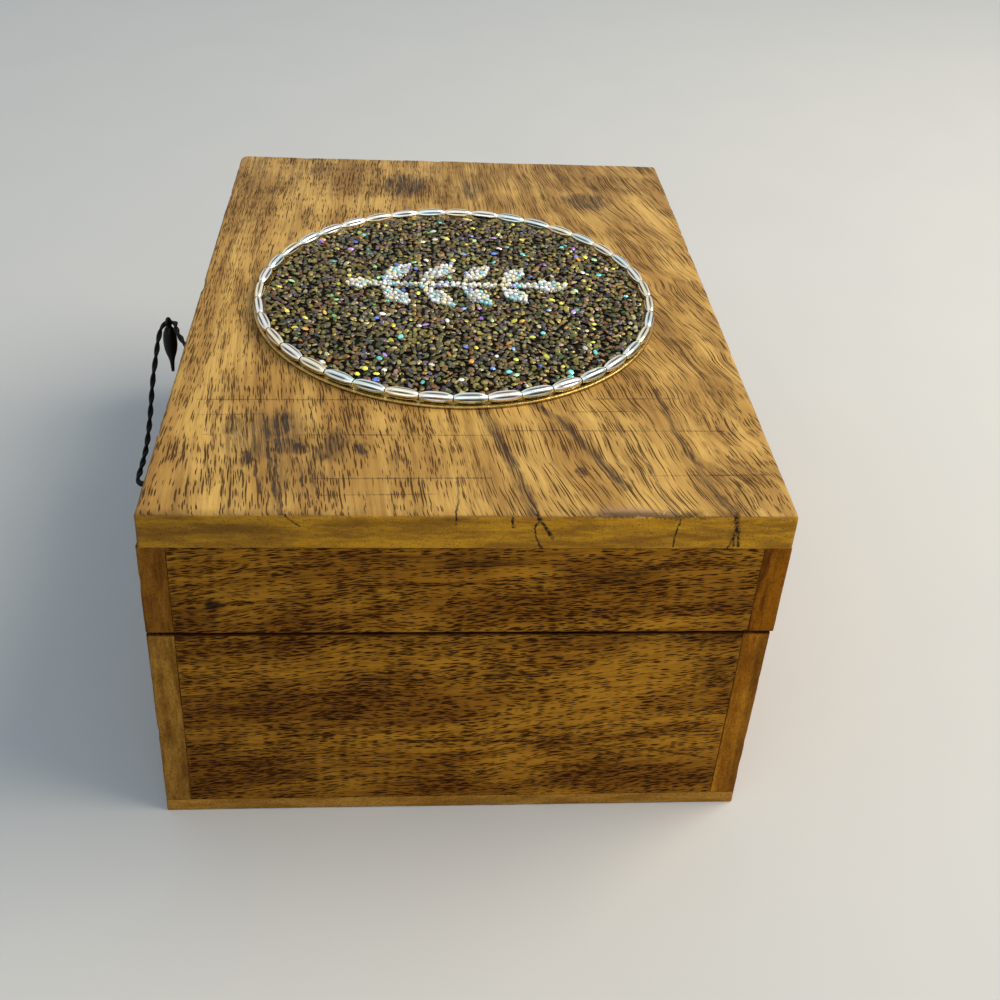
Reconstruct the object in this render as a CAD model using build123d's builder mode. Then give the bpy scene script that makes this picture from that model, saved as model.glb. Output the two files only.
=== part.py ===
"""Trinket box: a dark oiled wooden box with a hinged lid and a beaded oval medallion on top.

X runs from the cord side to the hinge side, Y along the box, Z up. Sizes are in mm.
"""

import math
import os

from build123d import *

os.makedirs("parts", exist_ok=True)

# Box
WIDTH = 127.0
DEPTH = 165.0
HEIGHT = 84.0
WALL = 5.6
BOTTOM = 3.6
TOP_BOARD = 8.0
LID_RAIL = 22.4
PARTING = 0.4
BACK_OVERHANG = 0.6  # the lid passes the base's back by this much, and stops against it
BOARD_SETBACK = 0.3  # the board stands back from the lid's front rail
EASED = 0.5
BOARD_EASED = 1.0

# Hinges
HINGE_Y = 45.0
HINGE_LENGTH = 19.0
KNUCKLES = 3
KNUCKLE_GAP = 0.15
LEAF = 0.8
LEAF_REACH = 5.1
BARREL_R = 1.5
PIN_R = 0.65
RUNNING = 0.05
CLEAR = 0.3
SCREW_Y = 6.2
SCREW_R = 0.8
SCREW_HEAD_R = 1.35
SCREW_LENGTH = 8.0
PILOT_ROOM = 0.2  # the pilot hole is this much deeper than the screw
SCREW_FIT = 0.03
SLOT = 0.4  # width of the slot in a screw's head
SLOT_DEPTH = 0.3
LEAF_SHOULDER = 0.2  # between a leaf's flat and its barrel

# Medallion
OVAL_X = 47.6  # half width of the line through the rim's beads
OVAL_Y = 44.4
OVAL_AT = (-0.9, -2.3)
BACKING = 0.8
BACKING_EDGE = 2.0
FIELD = 1.7
FIELD_EDGE = 1.6
BEADS = 39
BEAD_GAP = 0.35
BEAD_R = 1.4
BEAD_END_R = 0.6
BEAD_TAPER = 1.9  # length of the narrowing end
BEAD_SIDES = 8
SPRIG = 1.0  # height of the bed of stones
SPRIG_AT = (-0.9, 1.2)
SPRIG_STEM = 42.0
STEM_WIDTH = 3.4
LEAF_WIDTH = 6.6
SPRIG_LEAVES = [  # x and y of the leaf's foot on the stem, its direction in degrees and length
    (x, side * 0.6, side * 50, length)
    for x, length in ((-19.0, 12.0), (-9.0, 13.0), (1.0, 12.0), (11.0, 10.0))
    for side in (-1, 1)
] + [(17.0, 0, 0, 11.0), (-20.0, 0, 180, 7.0)]

# Cord
CORD_R = 0.7
CORD_SIDES = 8
CORD_DROP = 19.0  # the middle of the hole below the top of the box
CORD_HOLE_R = 1.7
STRAND_Y = 0.8
KNOT_R = 2.6
KNOT = 5.0
KNOT_PROFILE = [(0, 0.85), (0.3, 1), (0.7, 1), (1, 0.4)]  # parts of its length and radius
TOGGLE_R = 1.65
TOGGLE = 14.1
TOGGLE_EYE_R = 0.8
TOGGLE_RING = 0.8
TOGGLE_NECK_R = 0.5
TOGGLE_TAIL_R = 0.5
TOGGLE_PROFILE = [(0.72, TOGGLE_TAIL_R), (0.56, TOGGLE_R), (0.2, TOGGLE_R), (0, TOGGLE_NECK_R)]
TOGGLE_OVERLAP = 0.3  # the neck goes this far into the ring of the eye
EYE_PLAY = 0.02

lid_z = HEIGHT - TOP_BOARD - LID_RAIL
base_z = lid_z - PARTING
cord_z = HEIGHT - CORD_DROP
axis_z = lid_z - PARTING / 2
front = -WIDTH / 2
back = WIDTH / 2
base_back = back - BACK_OVERHANG
axis_x = base_back
end_y = DEPTH / 2 - WALL / 2
recess = HINGE_LENGTH + 2 * CLEAR
knuckle = HINGE_LENGTH / KNUCKLES
leaf_in = axis_x - LEAF_REACH
leaf_out = axis_x - BARREL_R - LEAF_SHOULDER
screw_x = (leaf_in + leaf_out) / 2
screw_reach = SCREW_LENGTH - PILOT_ROOM
hinge_ys = [-HINGE_Y, HINGE_Y]
screw_ys = [y + side * SCREW_Y for y in hinge_ys for side in (-1, 1)]


def centred(x0, x1):
    return (x0 + x1) / 2


# Base

with BuildPart() as base_bottom:
    with Locations((centred(front, base_back), 0, 0)):
        Box(base_back - front, DEPTH, BOTTOM, align=(Align.CENTER, Align.CENTER, Align.MIN))
    chamfer(base_bottom.edges().group_by(Axis.Z)[0], EASED)
base_bottom.part.label = "base_bottom"
export_step(base_bottom.part, "parts/base_bottom.step")

with BuildPart() as base_side_clasp:
    with Locations((front + WALL / 2, 0, BOTTOM)):
        Box(WALL, DEPTH, base_z - BOTTOM, align=(Align.CENTER, Align.CENTER, Align.MIN))
    chamfer(base_side_clasp.edges().filter_by(Axis.Z).group_by(Axis.X)[0], EASED)
base_side_clasp.part.label = "base_side_clasp"
export_step(base_side_clasp.part, "parts/base_side_clasp.step")

with BuildPart() as base_side_hinge:
    with Locations((base_back - WALL / 2, 0, BOTTOM)):
        Box(WALL, DEPTH, base_z - BOTTOM, align=(Align.CENTER, Align.CENTER, Align.MIN))
    chamfer(base_side_hinge.edges().filter_by(Axis.Z).group_by(Axis.X)[-1], EASED)
    with Locations(*[(axis_x, y, axis_z) for y in hinge_ys]):
        Cylinder(BARREL_R + CLEAR, recess, rotation=(90, 0, 0), mode=Mode.SUBTRACT)
    with Locations(*[(centred(leaf_in, axis_x), y, base_z) for y in hinge_ys]):
        Box(
            LEAF_REACH,
            HINGE_LENGTH,
            LEAF,
            align=(Align.CENTER, Align.CENTER, Align.MAX),
            mode=Mode.SUBTRACT,
        )
    with Locations(*[(screw_x, y, base_z) for y in screw_ys]):
        Cylinder(
            SCREW_R + SCREW_FIT,
            SCREW_LENGTH,
            align=(Align.CENTER, Align.CENTER, Align.MAX),
            mode=Mode.SUBTRACT,
        )
base_side_hinge.part.label = "base_side_hinge"
export_step(base_side_hinge.part, "parts/base_side_hinge.step")

end_width = base_back - front - 2 * WALL

with BuildPart() as base_end_near:
    with Locations((centred(front, base_back), -end_y, BOTTOM)):
        Box(end_width, WALL, base_z - BOTTOM, align=(Align.CENTER, Align.CENTER, Align.MIN))
base_end_near.part.label = "base_end_near"
export_step(base_end_near.part, "parts/base_end_near.step")

with BuildPart() as base_end_far:
    with Locations((centred(front, base_back), end_y, BOTTOM)):
        Box(end_width, WALL, base_z - BOTTOM, align=(Align.CENTER, Align.CENTER, Align.MIN))
base_end_far.part.label = "base_end_far"
export_step(base_end_far.part, "parts/base_end_far.step")

# Lid

with BuildPart() as lid_board:
    with Locations((centred(front + BOARD_SETBACK, back), 0, HEIGHT)):
        Box(
            WIDTH - BOARD_SETBACK,
            DEPTH,
            TOP_BOARD,
            align=(Align.CENTER, Align.CENTER, Align.MAX),
        )
    fillet(lid_board.edges().group_by(Axis.Z)[-1], BOARD_EASED)
lid_board.part.label = "lid_board"
export_step(lid_board.part, "parts/lid_board.step")

with BuildPart() as lid_side_clasp:
    with Locations((front + WALL / 2, 0, lid_z)):
        Box(WALL, DEPTH, LID_RAIL, align=(Align.CENTER, Align.CENTER, Align.MIN))
    chamfer(lid_side_clasp.edges().filter_by(Axis.Z).group_by(Axis.X)[0], EASED)
    with Locations((front + WALL / 2, 0, cord_z)):
        Cylinder(CORD_HOLE_R, WALL, rotation=(0, 90, 0), mode=Mode.SUBTRACT)
lid_side_clasp.part.label = "lid_side_clasp"
export_step(lid_side_clasp.part, "parts/lid_side_clasp.step")

with BuildPart() as lid_side_hinge:
    with Locations((back - WALL / 2, 0, lid_z)):
        Box(WALL, DEPTH, LID_RAIL, align=(Align.CENTER, Align.CENTER, Align.MIN))
    chamfer(lid_side_hinge.edges().filter_by(Axis.Z).group_by(Axis.X)[-1], EASED)
    with Locations(*[(axis_x, y, axis_z) for y in hinge_ys]):
        Cylinder(BARREL_R + CLEAR, recess, rotation=(90, 0, 0), mode=Mode.SUBTRACT)
    with Locations(*[(centred(leaf_in, axis_x), y, lid_z) for y in hinge_ys]):
        Box(
            LEAF_REACH,
            HINGE_LENGTH,
            LEAF,
            align=(Align.CENTER, Align.CENTER, Align.MIN),
            mode=Mode.SUBTRACT,
        )
    with Locations(*[(screw_x, y, lid_z) for y in screw_ys]):
        Cylinder(
            SCREW_R + SCREW_FIT,
            SCREW_LENGTH,
            align=(Align.CENTER, Align.CENTER, Align.MIN),
            mode=Mode.SUBTRACT,
        )
lid_side_hinge.part.label = "lid_side_hinge"
export_step(lid_side_hinge.part, "parts/lid_side_hinge.step")

rail_width = WIDTH - 2 * WALL

with BuildPart() as lid_end_near:
    with Locations((0, -end_y, lid_z)):
        Box(rail_width, WALL, LID_RAIL, align=(Align.CENTER, Align.CENTER, Align.MIN))
lid_end_near.part.label = "lid_end_near"
export_step(lid_end_near.part, "parts/lid_end_near.step")

with BuildPart() as lid_end_far:
    with Locations((0, end_y, lid_z)):
        Box(rail_width, WALL, LID_RAIL, align=(Align.CENTER, Align.CENTER, Align.MIN))
lid_end_far.part.label = "lid_end_far"
export_step(lid_end_far.part, "parts/lid_end_far.step")

# Hinges: the base leaf has the odd knuckles, the lid leaf has the even ones


def make_leaf(name, hinge_y, face_z, side, own):
    """One leaf with its knuckles. side is 1 for a leaf above its face and -1 for one below."""
    arm_x = centred(leaf_in, axis_x)
    with BuildPart() as leaf:
        with Locations((centred(leaf_in, leaf_out), hinge_y, face_z + side * LEAF / 2)):
            Box(leaf_out - leaf_in, HINGE_LENGTH, LEAF)
        for i in own:
            y = hinge_y - HINGE_LENGTH / 2 + (i + 0.5) * knuckle
            with Locations((arm_x, y, face_z + side * LEAF / 2)):
                Box(LEAF_REACH, knuckle - KNUCKLE_GAP, LEAF)
            with Locations((axis_x, y, axis_z)):
                Cylinder(BARREL_R, knuckle - KNUCKLE_GAP, rotation=(90, 0, 0))
        with Locations((axis_x, hinge_y, axis_z)):
            Cylinder(PIN_R + RUNNING, HINGE_LENGTH, rotation=(90, 0, 0), mode=Mode.SUBTRACT)
        turn = 0 if side < 0 else 180
        with Locations(
            *[
                Location((screw_x, hinge_y + s * SCREW_Y, face_z), (turn, 0, 0))
                for s in (-1, 1)
            ]
        ):
            Cone(
                SCREW_R + SCREW_FIT,
                SCREW_HEAD_R + SCREW_FIT,
                LEAF,
                align=(Align.CENTER, Align.CENTER, Align.MAX),
                mode=Mode.SUBTRACT,
            )
    leaf.part.label = name
    export_step(leaf.part, "parts/" + name + ".step")


def make_pin(name, hinge_y):
    with BuildPart() as pin:
        with Locations((axis_x, hinge_y, axis_z)):
            Cylinder(PIN_R, HINGE_LENGTH, rotation=(90, 0, 0))
    pin.part.label = name
    export_step(pin.part, "parts/" + name + ".step")


for place, hinge_y in (("near", -HINGE_Y), ("far", HINGE_Y)):
    make_leaf(f"hinge_{place}_base_leaf", hinge_y, base_z, -1, (0, 2))
    make_leaf(f"hinge_{place}_lid_leaf", hinge_y, lid_z, 1, (1,))
    make_pin(f"hinge_{place}_pin", hinge_y)


def make_screws(name, face_z, turn):
    """The four screws of one body, heads flush with the leaves' outer faces."""
    with BuildPart() as screws:
        for y in screw_ys:
            with Locations(Location((screw_x, y, face_z), (turn, 0, 0))):
                Cylinder(SCREW_R, screw_reach, align=(Align.CENTER, Align.CENTER, Align.MAX))
                Cone(
                    SCREW_R,
                    SCREW_HEAD_R,
                    LEAF,
                    align=(Align.CENTER, Align.CENTER, Align.MAX),
                )
                Box(
                    3 * SCREW_HEAD_R,
                    SLOT,
                    SLOT_DEPTH,
                    align=(Align.CENTER, Align.CENTER, Align.MAX),
                    mode=Mode.SUBTRACT,
                )
    screws.part.label = name
    export_step(screws.part, "parts/" + name + ".step")


make_screws("hinge_screws_base", base_z, 0)
make_screws("hinge_screws_lid", lid_z, 180)

# Medallion

backing_z = HEIGHT
field_z = backing_z + BACKING

with BuildPart() as medallion_backing:
    with BuildSketch(Plane.XY.offset(backing_z)):
        with Locations(OVAL_AT):
            Ellipse(OVAL_X + BACKING_EDGE, OVAL_Y + BACKING_EDGE)
    extrude(amount=BACKING)
medallion_backing.part.label = "medallion_backing"
export_step(medallion_backing.part, "parts/medallion_backing.step")

with BuildPart() as medallion_field:
    with BuildSketch(Plane.XY.offset(field_z)):
        with Locations(OVAL_AT):
            Ellipse(OVAL_X - FIELD_EDGE, OVAL_Y - FIELD_EDGE)
    extrude(amount=FIELD)
    chamfer(medallion_field.faces().sort_by(Axis.Z)[-1].edges(), FIELD / 2)
medallion_field.part.label = "medallion_field"
export_step(medallion_field.part, "parts/medallion_field.step")


def around_oval(count):
    """Places at equal distances along the oval, each with its direction in degrees."""
    steps = 3600
    points = [
        (OVAL_X * math.cos(2 * math.pi * i / steps), OVAL_Y * math.sin(2 * math.pi * i / steps))
        for i in range(steps + 1)
    ]
    run = [0.0]
    for a, b in zip(points, points[1:]):
        run.append(run[-1] + math.dist(a, b))
    places = []
    i = 0
    for k in range(count):
        while run[i + 1] < (k + 0.5) * run[-1] / count:
            i += 1
        a, b = points[i], points[i + 1]
        places.append((a[0], a[1], math.degrees(math.atan2(b[1] - a[1], b[0] - a[0]))))
    return places, run[-1] / count


bead_places, bead_pitch = around_oval(BEADS)
half_bead = (bead_pitch - BEAD_GAP) / 2

with BuildPart() as bead:
    with BuildSketch(Plane.YZ):
        RegularPolygon(BEAD_R, BEAD_SIDES, major_radius=False, rotation=180 / BEAD_SIDES)
    extrude(amount=half_bead, both=True)
    for pick in (0, -1):
        end = bead.faces().sort_by(Axis.X)[pick]
        chamfer(end.edges(), BEAD_R - BEAD_END_R, BEAD_TAPER, reference=end)

with BuildPart() as medallion_rim:
    with Locations(
        *[
            Location((x + OVAL_AT[0], y + OVAL_AT[1], field_z + BEAD_R), (0, 0, turn))
            for x, y, turn in bead_places
        ]
    ):
        add(bead.part)
medallion_rim.part.label = "medallion_rim"
export_step(medallion_rim.part, "parts/medallion_rim.step")


# Half widths of a leaf at parts of its length
leaf_half = [(0.2, 0.32), (0.5, 0.5), (0.8, 0.3)]
leaf_outline = [(0, 0)] + leaf_half + [(1, 0)] + [(u, -v) for u, v in reversed(leaf_half)]

with BuildPart() as medallion_sprig:
    with BuildSketch(Plane.XY.offset(field_z + FIELD)):
        with Locations(SPRIG_AT):
            Rectangle(SPRIG_STEM, STEM_WIDTH)
        for x, y, turn, length in SPRIG_LEAVES:
            with Locations(Location((SPRIG_AT[0] + x, SPRIG_AT[1] + y, 0), (0, 0, turn))):
                Polygon(*[(length * u, LEAF_WIDTH * v) for u, v in leaf_outline], align=None)
    extrude(amount=SPRIG)
medallion_sprig.part.label = "medallion_sprig"
export_step(medallion_sprig.part, "parts/medallion_sprig.step")

# Cord: out of the hole, along to the fold that holds the toggle, down along the side, and back in

# Each bend of the cord: how far out from the lid's face, how far along Y, how far below the hole
cord_bends = [
    (1.6, STRAND_Y, 0.0),
    (5.7, 6.0, 0.2),
    (9.3, 13.8, 0.8),
    (10.3, 19.2, 1.3),
    (13.7, 19.6, 2.2),
    (14.1, 14.6, 3.1),
    (13.8, 8.0, 5.4),
    (14.1, 3.0, 9.4),
    (13.3, -6.5, 14.0),
    (12.5, -16.0, 15.9),
    (12.1, -25.0, 15.6),
    (11.9, -32.0, 14.6),
    (7.0, -34.9, 12.6),
    (2.2, -32.0, 10.0),
    (2.1, -22.5, 6.6),
    (2.9, -13.0, 3.6),
    (4.8, -5.4, 1.1),
    (1.8, -STRAND_Y, 0.0),
]
knot_x = front + WALL
cord_route = (
    [(knot_x, STRAND_Y, cord_z)]
    + [(front - out, y, cord_z - down) for out, y, down in cord_bends]
    + [(knot_x, -STRAND_Y, cord_z)]
)


def bend_radii(route):
    """The largest bend at each corner that leaves a tenth of the shorter run straight."""
    radii = []
    for a, b, c in zip(route, route[1:], route[2:]):
        u, v = Vector(*b) - Vector(*a), Vector(*c) - Vector(*b)
        half = math.radians(u.get_angle(v)) / 2
        radii.append(0.45 * min(u.length, v.length) / math.tan(half))
    return radii


cord_radii = bend_radii(cord_route)
print("cord bend radii:", [round(r, 1) for r in cord_radii])

with BuildPart() as pull_cord:
    with BuildLine() as cord_line:
        FilletPolyline(*cord_route, radius=cord_radii)
    cord_wire = cord_line.wire()
    with BuildSketch(Plane(origin=cord_wire @ 0, z_dir=cord_wire % 0)):
        cord_section = RegularPolygon(CORD_R, CORD_SIDES)
    sweep(path=cord_wire)
section = cord_section.area
print("cord length:", round(cord_wire.length, 1))
print("cord volume over section x length:", pull_cord.part.volume / section / cord_wire.length)
pull_cord.part.label = "pull_cord"
export_step(pull_cord.part, "parts/pull_cord.step")

knot_at = Plane((knot_x, 0, cord_z), x_dir=(1, 0, 0), z_dir=(0, -1, 0))

with BuildPart() as cord_knot:
    with BuildSketch(knot_at):
        with BuildLine():
            knot_edge = [(KNOT * u, KNOT_R * v) for u, v in KNOT_PROFILE]
            Polyline((0, 0), *knot_edge, (KNOT, 0), close=True)
        make_face()
    revolve(axis=Axis(knot_at.origin, (1, 0, 0)))
cord_knot.part.label = "cord_knot"
export_step(cord_knot.part, "parts/cord_knot.step")

# The toggle hangs by its eye from the middle of the cord's fold
fold_at = max((k / 1000 for k in range(500)), key=lambda t: (cord_wire @ t).Y)
eye = cord_wire @ fold_at - Vector(0, 0, TOGGLE_EYE_R - CORD_R - EYE_PLAY)
eye_out = TOGGLE_EYE_R + TOGGLE_RING
toggle_top = TOGGLE_OVERLAP - eye_out
toggle_tip = toggle_top - TOGGLE
print("toggle's eye:", eye)

with BuildPart() as cord_toggle:
    with BuildSketch(Plane(eye, x_dir=(1, 0, 0), z_dir=(0, -1, 0))):
        with BuildLine():
            toggle_edge = [(r, toggle_top - u * TOGGLE) for u, r in TOGGLE_PROFILE]
            Polyline(
                (0, toggle_tip),
                (TOGGLE_TAIL_R, toggle_tip),
                *toggle_edge,
                (0, toggle_top),
                close=True,
            )
        make_face()
    revolve(axis=Axis(eye, (0, 0, 1)))
    with BuildSketch(Plane(eye, z_dir=cord_wire % fold_at)):
        Circle(eye_out)
        Circle(TOGGLE_EYE_R, mode=Mode.SUBTRACT)
    extrude(amount=TOGGLE_RING / 2, both=True)
cord_toggle.part.label = "cord_toggle"
export_step(cord_toggle.part, "parts/cord_toggle.step")
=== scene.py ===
"""Looks of the wooden trinket box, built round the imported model. Sizes in the code are in mm."""

import math
import random

import bmesh
import bpy
import numpy as np
from mathutils import Matrix, Vector, noise


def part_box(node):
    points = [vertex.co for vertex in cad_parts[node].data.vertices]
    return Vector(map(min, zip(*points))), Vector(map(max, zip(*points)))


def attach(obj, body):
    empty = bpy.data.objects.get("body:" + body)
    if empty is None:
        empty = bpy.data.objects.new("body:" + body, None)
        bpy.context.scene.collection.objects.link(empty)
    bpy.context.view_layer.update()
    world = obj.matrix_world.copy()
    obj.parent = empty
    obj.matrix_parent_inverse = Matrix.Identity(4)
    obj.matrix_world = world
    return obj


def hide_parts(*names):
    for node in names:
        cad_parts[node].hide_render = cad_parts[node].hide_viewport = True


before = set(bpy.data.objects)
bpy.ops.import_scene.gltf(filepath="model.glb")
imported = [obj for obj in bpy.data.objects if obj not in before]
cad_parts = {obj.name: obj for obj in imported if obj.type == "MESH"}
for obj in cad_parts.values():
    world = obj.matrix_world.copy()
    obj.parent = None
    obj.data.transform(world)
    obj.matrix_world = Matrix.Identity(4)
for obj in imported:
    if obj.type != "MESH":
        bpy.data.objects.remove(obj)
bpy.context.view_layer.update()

MM = 0.001
random.seed(11)
rng = np.random.default_rng(11)
scene = bpy.context.scene


def linear(red, green, blue):
    """A screen colour, 0 to 255, as the linear colour that shaders take."""
    parts = [c / 255 for c in (red, green, blue)]
    return tuple(c / 12.92 if c <= 0.04045 else ((c + 0.055) / 1.055) ** 2.4 for c in parts) + (1.0,)


# Camera

CAMERA_AT = (-13.951, -259.579, 235.391)
CAMERA_YAW = 5.152
CAMERA_DOWN = 30.031
CAMERA_ROLL = 3.5975
LENS = 43.636
SHIFT = (0.00289, -0.20524)


def make_camera():
    yaw, down, roll = (math.radians(a) for a in (CAMERA_YAW, CAMERA_DOWN, CAMERA_ROLL))
    ahead = Vector((math.sin(yaw) * math.cos(down), math.cos(yaw) * math.cos(down), -math.sin(down)))
    level = Vector((math.cos(yaw), -math.sin(yaw), 0))
    above = level.cross(ahead)
    right = math.cos(roll) * level + math.sin(roll) * above
    up = -math.sin(roll) * level + math.cos(roll) * above
    data = bpy.data.cameras.new("camera")
    data.sensor_width = 36
    data.lens = LENS
    data.shift_x, data.shift_y = SHIFT
    camera = bpy.data.objects.new("camera", data)
    turn = Matrix((right, up, -ahead)).transposed().to_4x4()
    camera.matrix_world = Matrix.Translation(Vector(CAMERA_AT) * MM) @ turn
    scene.collection.objects.link(camera)
    scene.camera = camera


make_camera()


# Mesh helpers


def mesh_piece(name, points, faces, material=None, smooth=True, sharp=None):
    """A mesh object from points in mm."""
    mesh = bpy.data.meshes.new(name)
    mesh.from_pydata((np.asarray(points, float) * MM).tolist(), [], faces)
    mesh.validate()
    mesh.polygons.foreach_set("use_smooth", [smooth] * len(mesh.polygons))
    if sharp is not None:
        mesh.set_sharp_from_angle(angle=math.radians(sharp))
    piece = bpy.data.objects.new(name, mesh)
    scene.collection.objects.link(piece)
    if material is not None:
        mesh.materials.append(material)
    return piece


def settle(piece, node=None, body="lid"):
    """Gives a piece its body, and puts it in a node's place."""
    if node is not None:
        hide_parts(node)
    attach(piece, body)
    return piece


def ring_faces(rings, sides, start=0):
    """Faces between rings of points that follow each other, and over the first and the last ring."""
    faces = []
    last = start + (rings - 1) * sides
    for lower in range(start, last, sides):
        for k in range(sides):
            n = (k + 1) % sides
            faces.append((lower + k, lower + n, lower + sides + n, lower + sides + k))
    faces.append(tuple(start + k for k in reversed(range(sides))))
    faces.append(tuple(last + k for k in range(sides)))
    return faces


def strand(points, radius, sides, phase, offset, pitch, start=0):
    """Points and faces of a strand that winds round a line at an offset from it."""
    points = np.asarray(points, float)
    ahead = np.gradient(points, axis=0)
    ahead /= np.linalg.norm(ahead, axis=1)[:, None]
    side = np.cross(ahead[0], (0.3, 0.2, 0.9))
    side /= np.linalg.norm(side)
    run = np.concatenate([[0], np.cumsum(np.linalg.norm(np.diff(points, axis=0), axis=1))])
    verts = []
    around = np.arange(sides) * 2 * math.pi / sides
    for p, d, gone in zip(points, ahead, run):
        side = side - d * side.dot(d)
        side /= np.linalg.norm(side)
        other = np.cross(d, side)
        turn = phase + gone * 2 * math.pi / pitch
        centre = p + offset * (math.cos(turn) * side + math.sin(turn) * other)
        for a in around:
            verts.append(centre + radius * (math.cos(a + turn) * side + math.sin(a + turn) * other))
    return verts, ring_faces(len(points), sides, start)


def turned(profile, centre, sides, half=(0.0, 0.0)):
    """Points and faces of a profile of (radius, height) turned about the upright line through centre.

    With half widths it goes round an oval instead, and each radius is the distance outside that oval.
    """
    verts = []
    for radius, height in profile:
        for k in range(sides):
            a = 2 * math.pi * k / sides
            x = centre[0] + (half[0] + radius) * math.cos(a)
            y = centre[1] + (half[1] + radius) * math.sin(a)
            verts.append((x, y, centre[2] + height))
    return verts, ring_faces(len(profile), sides)


# Node helpers


class Nodes:
    """A node tree, and short calls for its nodes."""

    def __init__(self, tree):
        self.tree = tree
        tree.nodes.clear()

    def put(self, socket, value):
        if isinstance(value, bpy.types.NodeSocket):
            self.tree.links.new(value, socket)
        elif value is not None:
            socket.default_value = value

    def add(self, kind, *values, **settings):
        """A new node's outputs. The values go into its first sockets; None leaves one as it is."""
        node = self.tree.nodes.new(kind)
        for name, value in settings.items():
            setattr(node, name, value)
        for socket, value in zip(node.inputs, values):
            self.put(socket, value)
        return node.outputs

    def math(self, operation, *values, clamp=False):
        return self.add("ShaderNodeMath", *values, operation=operation, use_clamp=clamp)[0]

    def vector(self, operation, *values):
        number = operation in ("LENGTH", "DOT_PRODUCT", "DISTANCE")
        return self.add("ShaderNodeVectorMath", *values, operation=operation)[1 if number else 0]

    def scaled(self, value, size):
        return self.vector("SCALE", value, None, None, size)

    def split(self, value):
        return self.add("ShaderNodeSeparateXYZ", value)

    def join(self, x, y, z):
        return self.add("ShaderNodeCombineXYZ", x, y, z)[0]

    def fold(self, operation, values):
        total = values[0]
        for value in values[1:]:
            total = self.math(operation, total, value)
        return total

    def times(self, *values):
        """The values multiplied together."""
        return self.fold("MULTIPLY", values)

    def either(self, values):
        """The largest of the values."""
        return self.fold("MAXIMUM", values)

    def sum(self, value, share, rest):
        """A share of a value, added to the rest."""
        return self.math("MULTIPLY_ADD", value, share, rest)

    def less(self, value, taken):
        return self.math("SUBTRACT", value, taken)

    def rest(self, value):
        """What is left of 1."""
        return self.less(1.0, value)

    def noise(self, at, scale=1.0, detail=2.0, roughness=0.5, out="Fac"):
        return self.add("ShaderNodeTexNoise", at, None, scale, detail, roughness)[out]

    def stretched(self, at, scales, detail=2.0, roughness=0.5):
        """Noise with its own scale along each axis."""
        return self.noise(self.vector("MULTIPLY", at, scales), 1.0, detail, roughness)

    def shake(self, at, scale):
        """A random offset in each direction, from -0.5 to 0.5."""
        return self.vector("SUBTRACT", self.noise(at, scale, 3.0, out="Color"), (0.5, 0.5, 0.5))

    def cells(self, at, dimensions="3D"):
        """The nearest of scattered points: its distance, random colour and place, by name."""
        return self.add("ShaderNodeTexVoronoi", at, None, 1.0, voronoi_dimensions=dimensions)

    def step(self, value, low, high, first=0.0, last=1.0):
        places = (value, low, high, first, last)
        return self.add("ShaderNodeMapRange", *places, interpolation_type="SMOOTHSTEP")[0]

    def mix(self, share, a, b):
        return self.add("ShaderNodeMix", share, *[None] * 5, a, b, data_type="RGBA")[2]

    def spot(self, at, centre, reach):
        """1 in the middle of an oval spot, falling to 0 at its edge."""
        away = self.vector("DIVIDE", self.vector("SUBTRACT", at, centre), reach)
        return self.step(self.vector("LENGTH", away), 0.35, 1.0, 1.0, 0.0)

    def line(self, at, start, end, half_width):
        """1 on a straight stroke between two points, 0 beyond its half width."""
        run = Vector(end) - Vector(start)
        gone = self.vector("SUBTRACT", at, start)
        along = self.vector("DOT_PRODUCT", gone, tuple(run / run.length_squared))
        along = self.math("MAXIMUM", self.math("MINIMUM", along, 1.0), 0.0)
        foot = self.vector("ADD", self.scaled(tuple(run), along), start)
        return self.step(self.vector("DISTANCE", at, foot), half_width * 0.3, half_width, 1.0, 0.0)


class Shader(Nodes):
    """A material with one Principled shader. Its place is the spot on the object in mm."""

    def __init__(self, name):
        self.material = bpy.data.materials.new(name)
        self.material.use_nodes = True
        super().__init__(self.material.node_tree)
        self.bsdf = self.tree.nodes.new("ShaderNodeBsdfPrincipled")
        self.add("ShaderNodeOutputMaterial", self.bsdf.outputs["BSDF"])
        self.place = self.scaled(self.add("ShaderNodeTexCoord")["Object"], 1 / MM)

    def shader(self, **values):
        for name, value in values.items():
            self.put(self.bsdf.inputs[name.replace("_", " ")], value)

    def bump(self, height, distance):
        node = self.tree.nodes.new("ShaderNodeBump")
        self.put(node.inputs["Height"], height)
        node.inputs["Distance"].default_value = distance * MM
        self.put(self.bsdf.inputs["Normal"], node.outputs[0])


# Cord: the route's points are part.py's

FRONT = -63.5
KNOT_X = -57.9
CORD_Z = 65.0
STRAND_Y = 0.8
CORD_BENDS = [
    (1.6, STRAND_Y, 0.0), (5.7, 6.0, 0.2), (9.3, 13.8, 0.8), (10.3, 19.2, 1.3), (13.7, 19.6, 2.2),
    (14.1, 14.6, 3.1), (13.8, 8.0, 5.4), (14.1, 3.0, 9.4), (13.3, -6.5, 14.0), (12.5, -16.0, 15.9),
    (12.1, -25.0, 15.6), (11.9, -32.0, 14.6), (7.0, -34.9, 12.6), (2.2, -32.0, 10.0), (2.1, -22.5, 6.6),
    (2.9, -13.0, 3.6), (4.8, -5.4, 1.1), (1.8, -STRAND_Y, 0.0),
]
PLY_R = 0.4
PLY_OFFSET = 0.31  # of each ply from the cord's line
PLY_PITCH = 9.0
PLY_SIDES = 10


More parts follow.
